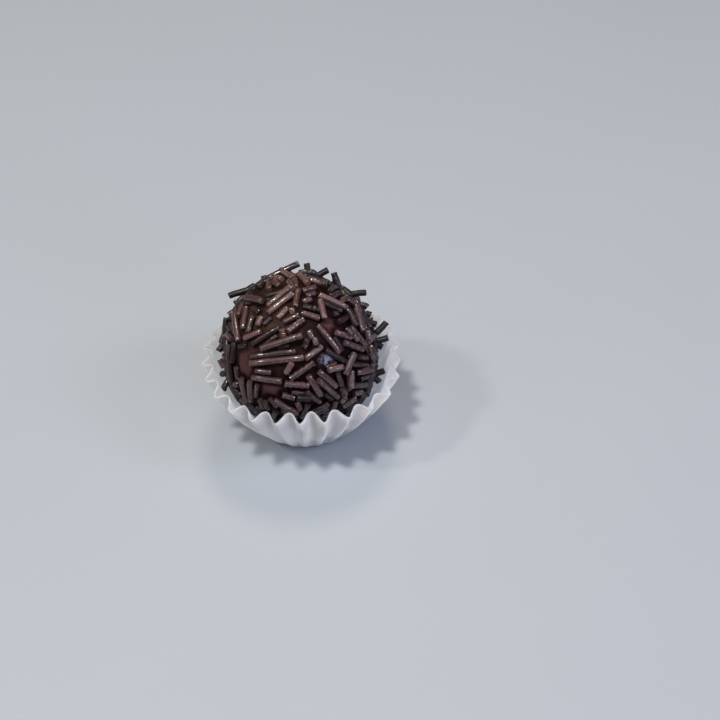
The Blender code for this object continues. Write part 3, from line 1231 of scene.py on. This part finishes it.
    def points(self, rods: Sequence[Laid]) -> bpy.types.Mesh:
        """Make a mesh with a point for each sprinkle.

        Args:
            rods: The sprinkles.

        Returns:
            The mesh, whose points carry the sprinkles' places and looks.
        """
        mesh = bpy.data.meshes.new("strand_places")
        mesh.from_pydata([tuple((rod.start + rod.end) / 2 * MM) for rod in rods], [], [])
        along = [(rod.end - rod.start) * MM for rod in rods]
        store(mesh, VECTOR, "vector", {"along": along, "out": [rod.out for rod in rods]})
        numbers = {
            "girth": [rod.girth * MM for rod in rods],
            "bend": [rod.bend * MM for rod in rods],
            "tone": [rod.tone for rod in rods],
            "twist": self.chance.uniform(0, 1, len(rods)),
        }
        store(mesh, "FLOAT", "value", numbers)
        return mesh

    def build(self) -> list[bpy.types.Object]:
        """Lay all the sprinkles and grow them.

        Returns:
            One piece for each kind.
        """
        steps = {"by hand": self.lay_by_hand, "between": self.scatter, "across": self.scatter_loose}
        self.lay_proud()
        for name, step in steps.items():
            step()
            log.info("with those laid %s: %d", name, len(self.heap.laid))
        finish = SprinkleFinish().material()
        pieces = []
        for strand in Strand:
            rods = [rod for rod in self.heap.laid if rod.strand is strand]
            board = self.tree(strand)
            pieces.append(board.grow("sprinkles_" + strand.value, self.points(rods), finish))
        return pieces


# ---- fudge ball


@dataclass
class FudgeBall:
    """The ball of fudge: pressed by the case, lumpy, and drawn up around its sprinkles."""

    ball: BallForm
    heap: Heap
    subdivisions: int = 7
    lumps: tuple[Span, ...] = ((7.0, 0.30), (2.6, 0.14), (0.9, 0.05))  # size and height
    collar: float = 0.12
    collar_reach: float = 0.35
    strand_edge: float = 0.7  # how far from its middle line a strand's side is
    syrup_patch: int = 6  # the bare patch where the fudge is wet and shiny
    syrup_reach: float = 1.3  # how much larger than its patch the wet place is
    syrup_rise: float = 2.2  # how soon it is fully wet
    syrup_level: float = 0.85  # how much of the lumps the syrup levels out
    open_edge: float = 0.9
    open_reach: float = 1.1  # how far from a strand the painted shade fades into the fudge's full colour
    gap_share: float = 0.3  # how much of that colour the gaps outside the raised patches have; the rest is painted shade
    raised: float = 0.3  # rise of a bare patch that takes the full colour
    raised_reach: float = 1.4  # how much larger than such a patch the full colour's place is
    steps: int = 9  # places along a strand from which the distance to it is taken

    def build(self) -> bpy.types.Object:
        """Build the ball.

        Returns:
            The piece.
        """
        shape = bmesh.new()
        bmesh.ops.create_icosphere(shape, subdivisions=self.subdivisions, radius=1.0)
        mesh = bpy.data.meshes.new("fudge_ball")
        shape.to_mesh(mesh)
        shape.free()
        directions = np.empty(len(mesh.vertices) * 3)
        mesh.vertices.foreach_get("co", directions)
        directions = unit(directions.reshape(-1, 3))
        wet = self.ball.patches(directions, self.syrup_reach)[:, self.syrup_patch]
        syrup = np.clip(self.syrup_rise * wet, 0, 1)
        relief = self.relief(directions) * (1 - self.syrup_level * syrup)
        points = self.ball.at(directions, self.ball.level(directions) + relief)
        away = self.nearest(points)
        collar = self.collar * np.exp(-(((away - self.strand_edge) / self.collar_reach) ** 2))
        points += directions * collar[:, None]
        mesh.vertices.foreach_set("co", (points * MM).ravel())
        # Painted shade: the fudge darkens near the strands and in the gaps outside the raised patches; the
        # open attribute carries how free of it each point is
        bare = np.clip((away - self.open_edge) / self.open_reach, 0, 1)
        shown = self.ball.patches(directions, self.raised_reach)
        shown = shown[:, self.ball.rises > self.raised].max(-1)
        share = np.clip(self.gap_share + 2.0 * shown, self.gap_share, 1)
        store(mesh, "FLOAT", "value", {"open": bare * bare * (3 - 2 * bare) * share, "wet": syrup})
        mesh.update()
        mesh.shade_smooth()
        mesh.materials.append(FudgeFinish().material())
        return new_object("fudge_ball", mesh)

    def relief(self, directions: Array) -> Array:
        """Work out the lumps of the hand-rolled fudge.

        Args:
            directions: Unit vectors.

        Returns:
            One height for each direction.
        """
        total = np.zeros(len(directions))
        for size, height in self.lumps:
            scale = self.ball.fudge / size
            total += height * np.array([noise.noise(Vector(d * scale)) for d in directions])
        return total

    def nearest(self, points: Array) -> Array:
        """Find how far points are from the middle line of the nearest sprinkle.

        Args:
            points: The points.

        Returns:
            One distance for each point.
        """
        tree = kdtree.KDTree(self.steps * len(self.heap.laid))
        for rod in self.heap.laid:
            for step in np.linspace(0, 1, self.steps):
                tree.insert(Vector(rod.start + step * (rod.end - rod.start)), 0)
        tree.balance()
        return np.array([tree.find(Vector(point))[2] for point in points])


# ---- paper case


@dataclass
class PaperCase:
    """The pleated case: one sheet pressed into folds that run up from its flat base."""

    form: CaseForm
    samples: int = 14  # points round a pleat
    rows: int = 40
    thickness: float = 0.07
    foot_round: float = 0.7
    crumple: float = 0.22
    crumple_scale: float = 0.16  # crumples in a millimetre
    crumple_span: Span = (0.1, 0.7)  # from where to where up the wall the crumpling grows
    fold_start: float = -3.0  # how far before the base's edge the folds begin

    def tree(self) -> GeometryBoard:
        """Make the tree that folds a tube into the case.

        Returns:
            The tree.
        """
        form = self.form
        board = GeometryBoard(
            "pleated_case",
            {
                "Round": form.pleats * self.samples,
                "Rows": self.rows,
                "Foot Round": self.foot_round,
                "Crumple": self.crumple,
                "Fold Foot": form.fold_foot,
                "Fold Rim": form.fold_rim,
                "Sharpness": form.sharpness,
                "Seed": 3.0,
            },
        )
        rings = {"Vertices": board.input("Round"), "Side Segments": board.input("Rows")}
        sockets = {**rings, "Radius": 1.0, "Depth": 1.0}
        tube = board.add("GeometryNodeMeshCylinder", sockets, fill_type="NONE")
        at = board.split(board.position())
        turn = at["X"].arctan2(at["Y"] * -1)
        # The sheet runs outwards to the base's edge, and from there up the wall
        wall = math.hypot(form.rim_radius - form.base_radius, form.height)
        run = (at["Z"] + 0.5) * (form.base_radius + wall)
        past = run - form.base_radius
        bend = board.input("Foot Round")
        climb = (past + (past * past + bend * bend) ** 0.5) * 0.5
        up = climb / (wall + 0.005)  # a little more than the wall, so that it stays under 1
        flare = form.flare(turn)
        slope = flare.arctan2(form.height)
        phase = form.phase(turn)
        pleat = form.depth(turn) * (phase.cos() + (phase * 2).cos() * board.input("Sharpness"))
        fold = board.input("Fold Foot") + (board.input("Fold Rim") - board.input("Fold Foot")) * up
        fold = fold * pleat * past.ease(self.fold_start, 0.0)
        belly = (up * math.pi).sin() * form.belly
        radius = run - climb + flare * up + belly + fold * slope.cos()
        height = (form.top(turn) - fold * slope.sin()) * up
        spot = board.join(turn.sin() * radius, turn.cos() * radius * -1, height)
        seed = board.input("Seed")
        place = board.vector("ADD", spot, board.join(seed, seed + 2, seed + 4))
        lumps = board.cloud(place, self.crumple_scale)
        push = board.nudge(lumps, board.input("Crumple") * up.ease(*self.crumple_span) * 2)
        spot = board.vector("SCALE", board.vector("ADD", spot, push), scale=MM)
        paper = board.move(board.keep(tube, "up", up), spot)
        sockets = {"Geometry": paper, "Distance": 0.002 * MM}
        paper = board.add("GeometryNodeMergeByDistance", sockets)
        board.close(board.add("GeometryNodeSetShadeSmooth", {0: paper}))
        return board

    def build(self) -> bpy.types.Object:
        """Build the case as a piece."""
        source = bpy.data.meshes.new("case_source")
        return self.tree().grow("pleated_case", source, PaperFinish().material(), self.thickness * MM)


# ---- studio


@dataclass(frozen=True)
class Lamp:
    """A square soft light that looks at the ball, with its distance and its side in metres."""

    name: str
    azimuth: float
    elevation: float
    distance: float
    side: float
    power: float
    colour: Triple

    def build(self, target: Vector) -> None:
        """Put the light in the scene.

        Args:
            target: The point that it looks at.
        """
        light = bpy.data.lights.new(self.name, "AREA")
        light.shape = "SQUARE"
        light.size = self.side
        light.energy = self.power
        light.color = self.colour
        holder = new_object(self.name, light)
        toward = Vector(polar(self.azimuth, self.elevation))
        holder.location = target + self.distance * toward
        holder.rotation_euler = toward.to_track_quat("Z", "Y").to_euler()


@dataclass(frozen=True)
class Studio:
    """Floor, lights and camera, in metres, degrees and, for lens and sensor, millimetres."""

    eye: Triple = (0.0, -0.24330, 0.24144)
    yaw: float = 3.028
    pitch: float = -42.894
    roll: float = 2.3
    lens: float = 72.6
    sensor: float = 36.0
    floor_side: float = 6.0
    target: Triple = (0.0, 0.0, 0.018)
    sky: Triple = (0.80, 0.86, 0.93)
    sky_power: float = 0.06
    lamps: tuple[Lamp, ...] = (
        Lamp("key", -50.0, 72.0, 0.9, 0.09, 6.0, (1.0, 0.97, 0.94)),
        Lamp("sheet", 8.0, 60.0, 1.1, 1.3, 5.2, (0.97, 0.98, 1.0)),
        Lamp("ceiling", 170.0, 58.0, 1.0, 0.26, 2.9, (1.0, 0.91, 0.78)),
        Lamp("window", 72.0, 36.0, 1.0, 0.30, 3.3, (0.74, 0.76, 1.0)),
        Lamp("low_window", 38.0, 16.5, 1.0, 0.34, 2.0, (0.50, 0.58, 1.0)),
        Lamp("side", -82.0, 46.0, 0.9, 0.07, 2.2, (1.0, 0.96, 0.94)),
        Lamp("fill", -66.0, 22.0, 1.0, 0.5, 0.8, (1.0, 0.96, 0.93)),
    )

    def build(self) -> None:
        """Build the floor, the lights and the camera."""
        self.build_floor()
        for lamp in self.lamps:
            lamp.build(Vector(self.target))
        self.build_camera()
        world = bpy.data.worlds.new("studio")
        world.use_nodes = True
        board = Board(world.node_tree)
        sockets = {"Color": (*self.sky, 1.0), "Strength": self.sky_power}
        sky = board.add("ShaderNodeBackground", sockets)
        board.add("ShaderNodeOutputWorld", {"Surface": sky})
        bpy.context.scene.world = world
        bpy.context.scene.view_settings.view_transform = "Standard"
        bpy.context.scene.view_settings.look = "None"

    def build_floor(self) -> None:
        """Build the floor."""
        half = self.floor_side / 2
        mesh = bpy.data.meshes.new("floor")
        corners = [(-half, -half, 0), (half, -half, 0), (half, half, 0), (-half, half, 0)]
        mesh.from_pydata(corners, [], [(0, 1, 2, 3)])
        mesh.materials.append(FloorFinish().material())
        new_object("floor", mesh)

    def build_camera(self) -> None:
        """Build the camera and make it the scene's."""
        yaw, pitch, roll = (math.radians(angle) for angle in (self.yaw, self.pitch, self.roll))
        turn = Matrix.Rotation(-yaw, 4, "Z")
        turn = turn @ Matrix.Rotation(math.pi / 2 + pitch, 4, "X") @ Matrix.Rotation(-roll, 4, "Z")
        data = bpy.data.cameras.new("camera")
        data.lens = self.lens
        data.sensor_width = self.sensor
        camera = new_object("camera", data)
        camera.matrix_world = Matrix.Translation(Vector(self.eye)) @ turn
        bpy.context.scene.camera = camera


# ---- assembly


def dress(piece: bpy.types.Object, node: str) -> None:
    """Tie a piece to the CAD frame.

    Args:
        piece: The piece.
        node: The CAD node that it stands for.
    """
    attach(piece, BODY)
    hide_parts(node)
    piece.data.calc_loop_triangles()
    log.info("%s: %d triangles", piece.name, len(piece.data.loop_triangles))


def main() -> None:
    """Build the brigadeiro and the studio round it."""
    logging.basicConfig(level=logging.INFO, format="%(message)s")
    case_form = CaseForm()
    ball_form = BallForm(case_form)
    dress(PaperCase(case_form).build(), "paper_case")
    coat = SprinkleCoat(ball_form)
    for piece in coat.build():
        dress(piece, "coated_ball")
    dress(FudgeBall(ball_form, coat.heap).build(), "coated_ball")
    Studio().build()


if __name__ == "__main__":
    main()
